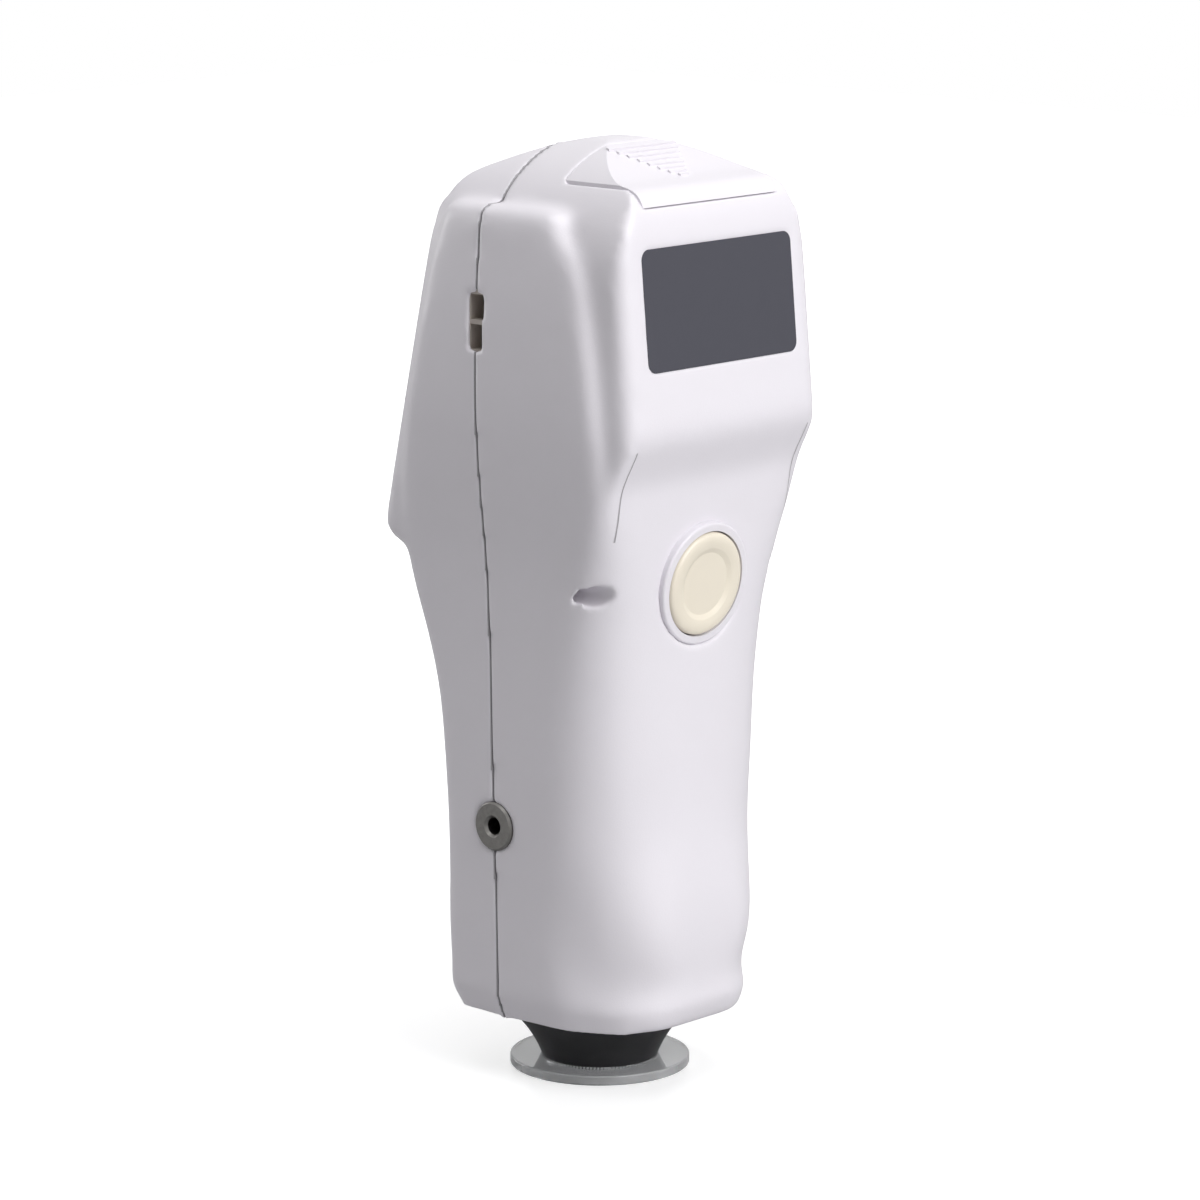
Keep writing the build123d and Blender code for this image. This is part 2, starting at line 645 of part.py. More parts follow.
with BuildPart() as strap_anchor:
    with BuildSketch(slot_face.offset(-SLOT_DEPTH - SLOT_WALL)):
        Rectangle(SLOT_WIDTH + 2 * SLOT_WALL, SLOT_HEIGHT + 2 * SLOT_WALL)
    extrude(amount=SLOT_DEPTH + SLOT_WALL)
    with BuildSketch(slot_face.offset(-SLOT_DEPTH)):
        Rectangle(SLOT_WIDTH, SLOT_HEIGHT)
    extrude(amount=SLOT_DEPTH, mode=Mode.SUBTRACT)
    with BuildSketch(slot_face.offset(-STRAP_BAR_DEPTH)):
        Rectangle(SLOT_WIDTH + SLOT_WALL, STRAP_BAR)
    extrude(amount=STRAP_BAR_DEPTH)
save(strap_anchor, "strap_anchor")

with BuildPart() as threaded_insert:
    with BuildSketch(insert_face.offset(-INSERT_FLANGE_THICKNESS)):
        Circle(INSERT_FLANGE_RADIUS)
    extrude(amount=INSERT_FLANGE_THICKNESS)
    with BuildSketch(insert_face.offset(-INSERT_LENGTH)):
        Circle(INSERT_BODY_RADIUS)
    extrude(amount=INSERT_LENGTH)
    chamfer(threaded_insert.edges().group_by(Axis.X)[-1], 0.5)
    with BuildSketch(insert_face.offset(-INSERT_LENGTH)):
        Circle(INSERT_BORE_RADIUS)
    extrude(amount=INSERT_LENGTH, mode=Mode.SUBTRACT)
    mouth = threaded_insert.edges().filter_by(GeomType.CIRCLE).group_by(Axis.X)[-1].sort_by(SortBy.RADIUS)[0]
    chamfer(mouth, INSERT_MOUTH_RADIUS - INSERT_BORE_RADIUS)
save(threaded_insert, "threaded_insert")

with BuildPart() as case_screws:
    with BuildSketch(Plane.XZ.offset(-SEAM_Y - SCREW_SEAT)):
        with Locations(*[(sign * WAIST_SCREW_X, WAIST_SCREW_Z) for sign in WELL_SIGNS]):
            Circle(SCREW_SHANK_RADIUS)
    extrude(amount=SCREW_SEAT + SCREW_REACH)
    with BuildSketch(Plane.XZ.offset(-SEAM_Y - SCREW_SEAT)):
        with Locations(*[(sign * WAIST_SCREW_X, WAIST_SCREW_Z) for sign in WELL_SIGNS]):
            Circle(SCREW_HEAD_RADIUS)
    extrude(amount=-SCREW_HEAD_HEIGHT)
    with BuildSketch(Plane.XZ.offset(-SEAM_Y - SCREW_SEAT - SCREW_HEAD_HEIGHT)):
        with Locations(*[(sign * WAIST_SCREW_X, WAIST_SCREW_Z) for sign in WELL_SIGNS]):
            Rectangle(0.7, 2.8)
            Rectangle(2.8, 0.7)
    extrude(amount=1.0, mode=Mode.SUBTRACT)
save(case_screws, "case_screws")

with BuildPart() as label_plate:
    with BuildSketch(back_face.offset(-LABEL_THICKNESS)):
        with Locations(label_centre):
            RectangleRounded(LABEL_WIDTH, LABEL_HEIGHT, LABEL_CORNER)
    extrude(amount=LABEL_THICKNESS)
save(label_plate, "label_plate")

with BuildPart() as button_bezel:
    with BuildSketch(button_face.offset(-BEZEL_LIP)):
        Circle(BEZEL_RADIUS - FIT)
    extrude(amount=2 * BEZEL_LIP)
    fillet(button_bezel.edges().filter_by(GeomType.CIRCLE).sort_by(Axis.Y)[-1], 0.6 * BEZEL_LIP)
    with BuildSketch(button_face.offset(-BEZEL_DEPTH)):
        Circle(BEZEL_TUBE_RADIUS - FIT)
    extrude(amount=BEZEL_DEPTH)
    with BuildSketch(button_face.offset(-BEZEL_DEPTH)):
        Circle(BEZEL_BORE)
    extrude(amount=2 * BEZEL_DEPTH, mode=Mode.SUBTRACT)
save(button_bezel, "button_bezel")

with BuildPart() as measure_button:
    with BuildSketch(Plane(origin=button_face.origin, x_dir=(1, 0, 0), z_dir=button_face.y_dir)):
        with BuildLine():
            Polyline(
                (CAP_DISC_RADIUS + 1.2, CAP_PROUD - 0.2),
                (CAP_DISC_RADIUS, CAP_PROUD - CAP_DISH),
                (0, CAP_PROUD - CAP_DISH),
                (0, -CAP_SKIRT - 1.0),
                (STEM_RADIUS, -CAP_SKIRT - 1.0),
                (STEM_RADIUS, CAP_PROUD - CAP_THICKNESS),
                (CAP_RADIUS - CAP_SKIRT_WALL, CAP_PROUD - CAP_THICKNESS),
                (CAP_RADIUS - CAP_SKIRT_WALL, -CAP_SKIRT),
                (CAP_RADIUS, -CAP_SKIRT),
                (CAP_RADIUS, CAP_PROUD - 1.4),
            )
            Bezier(
                (CAP_RADIUS, CAP_PROUD - 1.4),
                (CAP_RADIUS, CAP_PROUD - 0.2),
                (CAP_RADIUS - 1.2, CAP_PROUD + 0.4),
                (CAP_DISC_RADIUS + 1.2, CAP_PROUD - 0.2),
            )
        make_face()
    revolve(axis=Axis(button_face.origin, button_face.z_dir))
save(measure_button, "measure_button")

with BuildPart() as button_switch:
    with BuildSketch(button_face.offset(-BEZEL_DEPTH - BOARD_THICKNESS)):
        Circle(BEZEL_TUBE_RADIUS - FIT)
    extrude(amount=BOARD_THICKNESS)
    with BuildSketch(button_face.offset(-BEZEL_DEPTH)):
        Rectangle(SWITCH_BOX[0], SWITCH_BOX[1])
    extrude(amount=SWITCH_BOX[2])
    with BuildSketch(button_face.offset(-BEZEL_DEPTH)):
        Circle(1.6)
    extrude(amount=BEZEL_DEPTH - CAP_SKIRT - 1.0 - BUTTON_TRAVEL - 0.1)
save(button_switch, "button_switch")

with BuildPart() as nose_cone:
    with BuildSketch(Plane.XZ):
        with BuildLine():
            Polyline(
                (APERTURE_RADIUS, GLASS_Z),
                (APERTURE_RADIUS, 0),
                (NOSE_TIP_RADIUS, 0),
                (NOSE_TIP_RADIUS, RING_THICKNESS),
            )
            ThreePointArc(
                (NOSE_TIP_RADIUS, RING_THICKNESS),
                (
                    0.5 * (NOSE_TIP_RADIUS + NOSE_TOP_RADIUS) - 0.8 * NOSE_BELLY,
                    0.5 * (RING_THICKNESS + BASE_Z) + 0.6 * NOSE_BELLY,
                ),
                (NOSE_TOP_RADIUS, BASE_Z),
            )
            Polyline(
                (NOSE_TOP_RADIUS, BASE_Z),
                (NOSE_SPIGOT_RADIUS, BASE_Z),
                (NOSE_SPIGOT_RADIUS, NOSE_TOP_Z),
                (LED_BOARD_RADIUS + FIT, NOSE_TOP_Z),
                (LED_BOARD_RADIUS + FIT, LED_BOARD_Z),
                (LED_BOARD_RADIUS - 1.5, LED_BOARD_Z),
                (GLASS_RADIUS + FIT, GLASS_Z + GLASS_THICKNESS + 0.6),
                (GLASS_RADIUS + FIT, GLASS_Z),
                (APERTURE_RADIUS, GLASS_Z),
            )
        make_face()
    revolve(axis=Axis.Z)
save(nose_cone, "nose_cone")

with BuildPart() as locating_ring:
    Cylinder(RING_RADIUS, RING_THICKNESS, align=(Align.CENTER, Align.CENTER, Align.MIN))
    fillet(locating_ring.edges().filter_by(GeomType.CIRCLE), 0.4)
    Cylinder(
        NOSE_TIP_RADIUS,
        RING_THICKNESS,
        align=(Align.CENTER, Align.CENTER, Align.MIN),
        mode=Mode.SUBTRACT,
    )
save(locating_ring, "locating_ring")

with BuildPart() as aperture_glass:
    with BuildSketch(Plane.XY):
        Circle(APERTURE_RADIUS - FIT)
    extrude(amount=GLASS_Z)
    with BuildSketch(Plane.XY.offset(GLASS_Z)):
        Circle(GLASS_RADIUS)
    extrude(amount=GLASS_THICKNESS)
save(aperture_glass, "aperture_glass")

with BuildPart() as led_ring_board:
    with BuildSketch(Plane.XY.offset(LED_BOARD_Z)):
        Circle(LED_BOARD_RADIUS)
        Circle(LED_BOARD_HOLE, mode=Mode.SUBTRACT)
    extrude(amount=BOARD_THICKNESS)
    with BuildSketch(Plane.XY.offset(LED_BOARD_Z)):
        with PolarLocations(LED_CIRCLE, LED_COUNT):
            Rectangle(LED_SIZE, LED_SIZE)
    extrude(amount=-1.0)
save(led_ring_board, "led_ring_board")

with BuildPart() as optics_block:
    with BuildSketch(Plane.XY.offset(NOSE_TOP_Z)):
        Circle(NOSE_SPIGOT_RADIUS)
    extrude(amount=OPTICS_FLANGE)
    with BuildSketch(Plane.XY.offset(NOSE_TOP_Z)):
        Circle(OPTICS_RADIUS)
    extrude(amount=OPTICS_TOP_Z - NOSE_TOP_Z)
    with BuildSketch(Plane.XY.offset(NOSE_TOP_Z)):
        Circle(BARREL_RADIUS)
    extrude(amount=OPTICS_TOP_Z - NOSE_TOP_Z, mode=Mode.SUBTRACT)
save(optics_block, "optics_block")

with BuildPart() as sensor_barrel:
    with BuildSketch(Plane.XY.offset(NOSE_TOP_Z + OPTICS_FLANGE)):
        Circle(BARREL_RADIUS)
        Circle(BARREL_BORE, mode=Mode.SUBTRACT)
    extrude(amount=OPTICS_TOP_Z - NOSE_TOP_Z - OPTICS_FLANGE)
    with BuildSketch(Plane.XY.offset(OPTICS_TOP_Z)):
        Circle(BARREL_HEAD_RADIUS)
    extrude(amount=BARREL_HEAD_HEIGHT)
save(sensor_barrel, "sensor_barrel")

with BuildPart() as main_board:
    with BuildSketch(Plane.XZ.offset(-MAIN_BOARD_Y)):
        with Locations((0, MAIN_BOARD_Z)):
            RectangleRounded(*MAIN_BOARD_SIZE, 1.5)
    extrude(amount=-BOARD_THICKNESS)
    with BuildSketch(Plane.XZ.offset(-MAIN_BOARD_Y - BOARD_THICKNESS)):
        with Locations((0, MAIN_BOARD_Z + 8)):
            Rectangle(14, 14)
        with Locations((-10, MAIN_BOARD_Z - 16), (11, MAIN_BOARD_Z - 14)):
            Rectangle(9, 6)
    extrude(amount=-1.2)
save(main_board, "main_board")

with BuildPart() as display_window:
    with BuildSketch(screen_face.offset(-WINDOW_THICKNESS)):
        with Locations((0, WINDOW_UP)):
            RectangleRounded(WINDOW_WIDTH - 2 * FIT, WINDOW_HEIGHT - 2 * FIT, 3 - FIT)
    extrude(amount=WINDOW_THICKNESS)
save(display_window, "display_window")

with BuildPart() as display_module:
    with BuildSketch(screen_face.offset(-SCREEN_WALL - DISPLAY_THICKNESS)):
        with Locations((0, WINDOW_UP)):
            Rectangle(WINDOW_WIDTH, WINDOW_HEIGHT)
    extrude(amount=DISPLAY_THICKNESS)
save(display_module, "display_module")

for number, place in enumerate(KEY_PLACES, start=1):
    with BuildPart() as key:
        with BuildSketch(screen_face.offset(-SCREEN_WALL - FIT)):
            with Locations(place):
                RectangleRounded(KEY_LENGTH, KEY_HEIGHT, 1.8)
        extrude(amount=SCREEN_WALL + FIT + KEY_PROUD)
        outward = Axis(screen_face.origin, screen_face.z_dir)
        fillet(key.faces().sort_by(outward)[-1].edges(), 0.4)
        with BuildSketch(screen_face.offset(-SCREEN_WALL - FIT - KEY_FLANGE_THICKNESS)):
            with Locations(place):
                Rectangle(KEY_LENGTH + 2 * KEY_FLANGE, KEY_HEIGHT + 2 * KEY_FLANGE)
        extrude(amount=KEY_FLANGE_THICKNESS)
    save(key, f"key_{number}")

with BuildPart() as keypad_mat:
    mat_depth = SCREEN_WALL + FIT + KEY_FLANGE_THICKNESS + KEY_TRAVEL + 2 * FIT
    with BuildSketch(screen_face.offset(-mat_depth - KEYPAD_THICKNESS)):
        with Locations((0, KEYPAD_UP)):
            Rectangle(*KEYPAD_SIZE)
    extrude(amount=KEYPAD_THICKNESS)
    with BuildSketch(screen_face.offset(-mat_depth)):
        with Locations((0, KEYPAD_UP)):
            Rectangle(*KEYPAD_SIZE)
            Rectangle(*[value - 2 * KEYPAD_RIM for value in KEYPAD_SIZE], mode=Mode.SUBTRACT)
    extrude(amount=mat_depth - SCREEN_WALL)
save(keypad_mat, "keypad_mat")

with BuildPart() as keypad_board:
    with BuildSketch(screen_face.offset(-mat_depth - KEYPAD_THICKNESS - BOARD_THICKNESS)):
        with Locations((0, KEYPAD_UP)):
            Rectangle(*KEYPAD_SIZE)
    extrude(amount=BOARD_THICKNESS)
save(keypad_board, "keypad_board")

with BuildPart() as power_switch:
    with BuildSketch(switch_face.offset(-SWITCH_WALL - SWITCH_SLIDER_THICKNESS)):
        with Locations((0, -SWITCH_TRAVEL / 2)):
            Rectangle(*SWITCH_KNOB)
    extrude(amount=SWITCH_WALL + SWITCH_SLIDER_THICKNESS + SWITCH_RECESS_X - SWITCH_KNOB_X)
    with BuildSketch(switch_face.offset(-SWITCH_WALL - SWITCH_SLIDER_THICKNESS)):
        with Locations((0, -SWITCH_TRAVEL / 2)):
            Rectangle(*SWITCH_SLIDER)
    extrude(amount=SWITCH_SLIDER_THICKNESS - SWITCH_GAP)
save(power_switch, "power_switch")

with BuildPart() as switch_body:
    body_depth = SWITCH_WALL + SWITCH_SLIDER_THICKNESS + SWITCH_GAP
    with BuildSketch(switch_face.offset(-body_depth - SWITCH_BODY_THICKNESS)):
        Rectangle(SWITCH_RECESS[0] + 3, SWITCH_RECESS[1])
    extrude(amount=SWITCH_BODY_THICKNESS)
save(switch_body, "switch_body")
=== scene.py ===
import math

import bpy
import numpy as np
from mathutils import Matrix, Vector


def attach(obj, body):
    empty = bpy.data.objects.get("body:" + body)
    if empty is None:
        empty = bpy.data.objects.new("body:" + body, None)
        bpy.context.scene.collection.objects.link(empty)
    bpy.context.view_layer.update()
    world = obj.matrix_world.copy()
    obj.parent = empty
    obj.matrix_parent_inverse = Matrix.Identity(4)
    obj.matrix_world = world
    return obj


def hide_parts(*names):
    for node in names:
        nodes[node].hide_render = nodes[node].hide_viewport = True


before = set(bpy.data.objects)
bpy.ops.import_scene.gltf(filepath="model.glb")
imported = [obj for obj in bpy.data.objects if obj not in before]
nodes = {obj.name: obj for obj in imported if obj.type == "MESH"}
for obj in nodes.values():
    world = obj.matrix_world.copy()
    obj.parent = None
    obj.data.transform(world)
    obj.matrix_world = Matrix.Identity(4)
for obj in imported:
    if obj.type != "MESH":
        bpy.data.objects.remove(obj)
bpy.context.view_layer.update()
MM = 0.001

# The case: two halves moulded in a satin white plastic with a fine spark-eroded grain.
# They meet at a narrow groove down each side, and a thin panel line runs down behind each wing
# on the back, towards the ring of the measuring button.
SEAM_Y = -5.0 * MM
SEAM_HALF_WIDTH = 0.16 * MM
# The seam and the panel line are sunk by a bump and also darkened to a grey, a painted shade that
# stands for the shade in a narrow groove.
SEAM_SHADE = 0.75
PANEL_X = 30.6 * MM
PANEL_HALF_WIDTH = 0.09 * MM
PANEL_TOP_Z = 161.0 * MM
PANEL_LOW_Z = 139.0 * MM
PANEL_FRONT_Y = 20.0 * MM
PANEL_SHADE = 0.5
GROOVE_SOFT_EDGE = 0.12 * MM
GROOVE_SINK = -6.0
CASE_COLOUR = (0.80, 0.775, 0.825, 1.0)
GROOVE_SHADE_COLOUR = (0.20, 0.195, 0.205, 1.0)
CASE_ROUGHNESS = 0.42
CASE_GRAIN = 0.5
CLOUDS_PER_METRE = 38.0
CLOUD_DETAIL = 4.0
CLOUD_SHARE = 0.6
CLOUD_DARKENING = 0.035
GREEN_LOSS = 1.2
BLUE_LOSS = 1.5
GRAIN_PER_METRE = 2600.0
GRAIN_DETAIL = 2.0
GRAIN_DEPTH = 0.05 * MM
SHEEN_SPOTS_PER_METRE = 160.0
SHEEN_SPREAD = 0.12
PLASTIC_SPECULAR = 0.45


def new_material(name):
    """An empty node material, its tree and its shader."""
    material = bpy.data.materials.new(name)
    material.use_nodes = True
    tree = material.node_tree
    tree.nodes.clear()
    output = tree.nodes.new("ShaderNodeOutputMaterial")
    shader = tree.nodes.new("ShaderNodeBsdfPrincipled")
    tree.links.new(shader.outputs["BSDF"], output.inputs["Surface"])
    return material, tree, shader


def place_of(tree):
    """The point on the object, in the object's own frame."""
    return tree.nodes.new("ShaderNodeTexCoord").outputs["Object"]


def split_place(tree, where):
    """The X, Y and Z of a point."""
    parts = tree.nodes.new("ShaderNodeSeparateXYZ")
    tree.links.new(where, parts.inputs[0])
    return parts.outputs["X"], parts.outputs["Y"], parts.outputs["Z"]


def calc(tree, operation, first, second=None, third=None):
    """One Math node fed by sockets or numbers."""
    node = tree.nodes.new("ShaderNodeMath")
    node.operation = operation
    for socket, value in zip(node.inputs, (first, second, third)):
        if value is None:
            continue
        if isinstance(value, (int, float)):
            socket.default_value = value
        else:
            tree.links.new(value, socket)
    return node.outputs[0]


def speckle(tree, where, scale, detail=3.0, roughness=0.6):
    """Noise at a scale told in patches per metre."""
    noise = tree.nodes.new("ShaderNodeTexNoise")
    noise.inputs["Scale"].default_value = scale
    noise.inputs["Detail"].default_value = detail
    noise.inputs["Roughness"].default_value = roughness
    tree.links.new(where, noise.inputs["Vector"])
    return noise.outputs["Fac"]


def blend_colours(tree, factor, first, second):
    """A mix of two colours or colour sockets."""
    mix = tree.nodes.new("ShaderNodeMix")
    mix.data_type = "RGBA"
    tree.links.new(factor, mix.inputs[0])
    for socket, value in ((mix.inputs[6], first), (mix.inputs[7], second)):
        if isinstance(value, tuple):
            socket.default_value = value
        else:
            tree.links.new(value, socket)
    return mix.outputs[2]


def bump(tree, shader, height, depth, strength=1.0):
    """Fine relief from a height, its depth in metres."""
    relief = tree.nodes.new("ShaderNodeBump")
    relief.inputs["Strength"].default_value = strength
    relief.inputs["Distance"].default_value = depth
    tree.links.new(height, relief.inputs["Height"])
    tree.links.new(relief.outputs["Normal"], shader.inputs["Normal"])


def band(tree, value, centre, half_width):
    """One inside a band about a value, falling to nought over a soft edge."""
    away = calc(tree, "ABSOLUTE", calc(tree, "SUBTRACT", value, centre))
    edge = tree.nodes.new("ShaderNodeMapRange")
    edge.inputs["From Min"].default_value = half_width
    edge.inputs["From Max"].default_value = half_width + GROOVE_SOFT_EDGE
    edge.inputs["To Min"].default_value = 1.0
    edge.inputs["To Max"].default_value = 0.0
    tree.links.new(away, edge.inputs["Value"])
    return edge.outputs["Result"]


def darker(colour, amount):
    """A colour a little darker and warmer, as a plastic is in the clouds of its tone."""
    red, green, blue, alpha = colour
    green *= 1.0 - GREEN_LOSS * amount
    blue *= 1.0 - BLUE_LOSS * amount
    return (red * (1.0 - amount), green, blue, alpha)


def case_grooves(tree, where):
    """The seam between the halves and the panel line behind each wing, each as a band, for their
    sinking and their painted shade.
    """
    x, y, z = split_place(tree, where)
    seam = band(tree, y, SEAM_Y, SEAM_HALF_WIDTH)
    line = band(tree, calc(tree, "ABSOLUTE", x), PANEL_X, PANEL_HALF_WIDTH)
    low = calc(tree, "GREATER_THAN", z, PANEL_LOW_Z)
    high = calc(tree, "LESS_THAN", z, PANEL_TOP_Z)
    back = calc(tree, "GREATER_THAN", y, PANEL_FRONT_Y)
    inside = calc(tree, "MULTIPLY", calc(tree, "MULTIPLY", low, high), back)
    return seam, calc(tree, "MULTIPLY", line, inside)


def moulded(name, colour, roughness, grain, with_grooves=False):
    """A moulded plastic: cloudy tone, fine grain and, on the case, the grooves between its panels, sunk
    and darkened with painted shade.
    """
    material, tree, shader = new_material(name)
    where = place_of(tree)
    cloud = speckle(tree, where, CLOUDS_PER_METRE, CLOUD_DETAIL)
    cloud = calc(tree, "MULTIPLY", cloud, CLOUD_SHARE)
    tone = blend_colours(tree, cloud, colour, darker(colour, CLOUD_DARKENING))
    fine = speckle(tree, where, GRAIN_PER_METRE, GRAIN_DETAIL)
    height = calc(tree, "MULTIPLY", fine, grain)
    if with_grooves:
        seam, panel = case_grooves(tree, where)
        # Painted shade: the seam and the panel line are darkened towards a grey, as shade falls in a
        # groove.
        tone = blend_colours(tree, calc(tree, "MULTIPLY", seam, SEAM_SHADE), tone, GROOVE_SHADE_COLOUR)
        tone = blend_colours(tree, calc(tree, "MULTIPLY", panel, PANEL_SHADE), tone, GROOVE_SHADE_COLOUR)
        sunk = calc(tree, "MULTIPLY", calc(tree, "MAXIMUM", seam, panel), GROOVE_SINK)
        height = calc(tree, "ADD", height, sunk)
    tree.links.new(tone, shader.inputs["Base Color"])
    spots = speckle(tree, where, SHEEN_SPOTS_PER_METRE)
    sheen = calc(tree, "MULTIPLY_ADD", spots, SHEEN_SPREAD, roughness - SHEEN_SPREAD / 2)
    tree.links.new(sheen, shader.inputs["Roughness"])
    shader.inputs["Specular IOR Level"].default_value = PLASTIC_SPECULAR
    bump(tree, shader, height, GRAIN_DEPTH)
    return material


def finish_with(material, *names):
    """Give CAD nodes one material each, in place of the plain one that they came with."""
    for name in names:
        mesh = nodes[name].data
        mesh.materials.clear()
        mesh.materials.append(material)


case_white = moulded("satin_case_white", CASE_COLOUR, CASE_ROUGHNESS, CASE_GRAIN, with_grooves=True)
finish_with(case_white, "front_shell", "rear_shell")

# The outer skin of each half: the mould's edges are eased by a radius of a few millimetres, so the
# wings, the shoulders and the hollows beside the head run into each other. The edges of the openings
# stay crisp, and so does the edge along the seam.
SKIN_MESH = 0.85 * MM
EASING_ROUNDS = 26
EASING_STEP = 0.5
SEAM_HOLD = 1.0 * MM
SEAM_FADE = 0.5 * MM
CRISP_FADE = 3.0 * MM
INSERT_RIM = ((33.0, -5.0, 64.8), 9.0)
BUTTON_RIM = ((0.0, 33.4, 125.2), 18.0)
RIGHT_SCREW_WELL = ((30.4, 28.0, 125.5), 5.0)
LEFT_SCREW_WELL = ((-30.4, 28.0, 125.5), 5.0)
COVER_OPENING = ((-27.0, 8.0, 214.0), (27.0, 45.0, 232.0))
LABEL_PLACE = ((-29.0, 30.0, 176.0), (29.0, 45.0, 211.0))
SCREEN_AND_KEYS = ((-29.5, -45.0, 142.0), (29.5, -16.0, 214.0))
STRAP_SLOT = ((20.0, -10.0, 179.0), (40.0, 0.0, 198.0))
SWITCH_RECESS = ((-40.0, -24.0, 164.0), (-28.0, -9.0, 188.0))
NOSE_HOLE = ((-27.0, -27.0, 14.0), (27.0, 27.0, 20.0))
CRISP_BALLS = (INSERT_RIM, BUTTON_RIM, RIGHT_SCREW_WELL, LEFT_SCREW_WELL)
CRISP_BOXES = (COVER_OPENING, LABEL_PLACE, SCREEN_AND_KEYS, STRAP_SLOT, SWITCH_RECESS, NOSE_HOLE)


def how_free(points):
    """One where the skin may be eased, falling to nought round the openings and along the seam."""
    free = np.clip((np.abs(points[:, 1] - SEAM_Y) - SEAM_HOLD) / SEAM_FADE, 0.0, 1.0)
    for centre, reach in CRISP_BALLS:
        outside = np.linalg.norm(points - np.array(centre) * MM, axis=1) - reach * MM
        free = np.minimum(free, np.clip(outside / CRISP_FADE, 0.0, 1.0))
    for low, high in CRISP_BOXES:
        outside = np.maximum(np.array(low) * MM - points, points - np.array(high) * MM).max(1)
        free = np.minimum(free, np.clip(outside / CRISP_FADE, 0.0, 1.0))
    return free


def even_mesh(name):
    """A copy of one case half on an even mesh."""
    rough = bpy.data.objects.new(name + "_rough", nodes[name].data.copy())
    bpy.context.scene.collection.objects.link(rough)
    even = rough.modifiers.new("even_mesh", "REMESH")
    even.mode = "VOXEL"
    even.voxel_size = SKIN_MESH
    mesh = bpy.data.meshes.new_from_object(rough.evaluated_get(bpy.context.evaluated_depsgraph_get()))
    bpy.data.objects.remove(rough)
    return mesh


def ease_edges(mesh):
    """Move each free point a share of the way to the middle of its neighbours, many times over."""
    count = len(mesh.vertices)
    points = np.empty(count * 3)
    mesh.vertices.foreach_get("co", points)
    points = points.reshape(-1, 3)
    pairs = np.empty(len(mesh.edges) * 2, np.int32)
    mesh.edges.foreach_get("vertices", pairs)
    pairs = pairs.reshape(-1, 2)
    ends = np.concatenate((pairs[:, 0], pairs[:, 1]))
    others = np.concatenate((pairs[:, 1], pairs[:, 0]))
    neighbours = np.maximum(np.bincount(ends, minlength=count), 1)
    free = how_free(points) * EASING_STEP
    for _ in range(EASING_ROUNDS):
        for axis in range(3):
            mean = np.bincount(ends, points[others, axis], count) / neighbours
            points[:, axis] += free * (mean - points[:, axis])
    mesh.vertices.foreach_set("co", points.ravel())
    mesh.polygons.foreach_set("use_smooth", np.ones(len(mesh.polygons), bool))
    mesh.update()


def eased_skin(name):
    """The smooth skin that stands for one case half."""
    mesh = even_mesh(name)
    ease_edges(mesh)
    mesh.materials.clear()
    mesh.materials.append(case_white)
    skin = bpy.data.objects.new(name + "_skin", mesh)
    bpy.context.scene.collection.objects.link(skin)
    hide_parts(name)
    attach(skin, "case")


for half_name in ("front_shell", "rear_shell"):
    eased_skin(half_name)

# The battery cover and the ring of the measuring button: separate mouldings in the plastic of the case.
# The cover slides back off the head, and the ring is pressed into the rear half.
plain_white = moulded("plain_case_white", CASE_COLOUR, CASE_ROUGHNESS, CASE_GRAIN)
finish_with(plain_white, "button_bezel", "battery_cover")

# The strap anchor: a small pocket with a bar across it, let into the seam of the head.
# It is the white of the case, coloured here a darker, warmer painted shade, the shade that falls inside
# the pocket.
ANCHOR_SHADE_COLOUR = (0.52, 0.47, 0.43, 1.0)
anchor_painted_shade = moulded("anchor_painted_shade", ANCHOR_SHADE_COLOUR, roughness=0.5, grain=0.5)
finish_with(anchor_painted_shade, "strap_anchor")

# The measuring button: a domed cap with a dished middle, moulded in a warm cream plastic.
# It slides in the ring and presses the switch behind it.
BUTTON_COLOUR = (0.84, 0.775, 0.655, 1.0)
button_cream = moulded("button_cream", BUTTON_COLOUR, roughness=0.36, grain=0.25)
finish_with(button_cream, "measure_button")

# The label: a dark printed film let into the back of the head.
# It is bare, with the soft sheen of a screened ink.
LABEL_COLOUR = (0.048, 0.048, 0.064, 1.0)
label_film = moulded("label_film", LABEL_COLOUR, roughness=0.5, grain=0.3)
finish_with(label_film, "label_plate")

# The threaded insert and the case screws: turned steel, the insert pressed between both halves.
# Their faces show the fine rings that the lathe left.
INSERT_AXIS_Z = 64.8 * MM
TURNING_PITCH = 0.22 * MM
TURNING_DEPTH = 0.01 * MM
STEEL_DARK = (0.13, 0.125, 0.12, 1.0)
STEEL_LIGHT = (0.22, 0.215, 0.205, 1.0)
STEEL_FLECKS_PER_METRE = 900.0
turned_steel, tree, shader = new_material("turned_steel")
where = place_of(tree)
_, y, z = split_place(tree, where)
across = calc(tree, "SUBTRACT", y, SEAM_Y)
up = calc(tree, "SUBTRACT", z, INSERT_AXIS_Z)
squares = calc(tree, "ADD", calc(tree, "MULTIPLY", across, across), calc(tree, "MULTIPLY", up, up))
radius = calc(tree, "SQRT", squares)
rings = calc(tree, "SINE", calc(tree, "MULTIPLY", radius, 2.0 * math.pi / TURNING_PITCH))
flecks = speckle(tree, where, STEEL_FLECKS_PER_METRE)
tree.links.new(blend_colours(tree, flecks, STEEL_DARK, STEEL_LIGHT), shader.inputs["Base Color"])
shader.inputs["Metallic"].default_value = 1.0
shader.inputs["Roughness"].default_value = 0.34
bump(tree, shader, calc(tree, "ADD", rings, flecks), TURNING_DEPTH, strength=0.6)
finish_with(turned_steel, "threaded_insert", "case_screws")

# The measuring nose: a black cone in a fine matt plastic, open at the aperture.
# It carries the ring below and the window of the optics.
NOSE_COLOUR = (0.018, 0.018, 0.020, 1.0)
nose_black = moulded("nose_black", NOSE_COLOUR, roughness=0.5, grain=0.6)
finish_with(nose_black, "nose_cone")

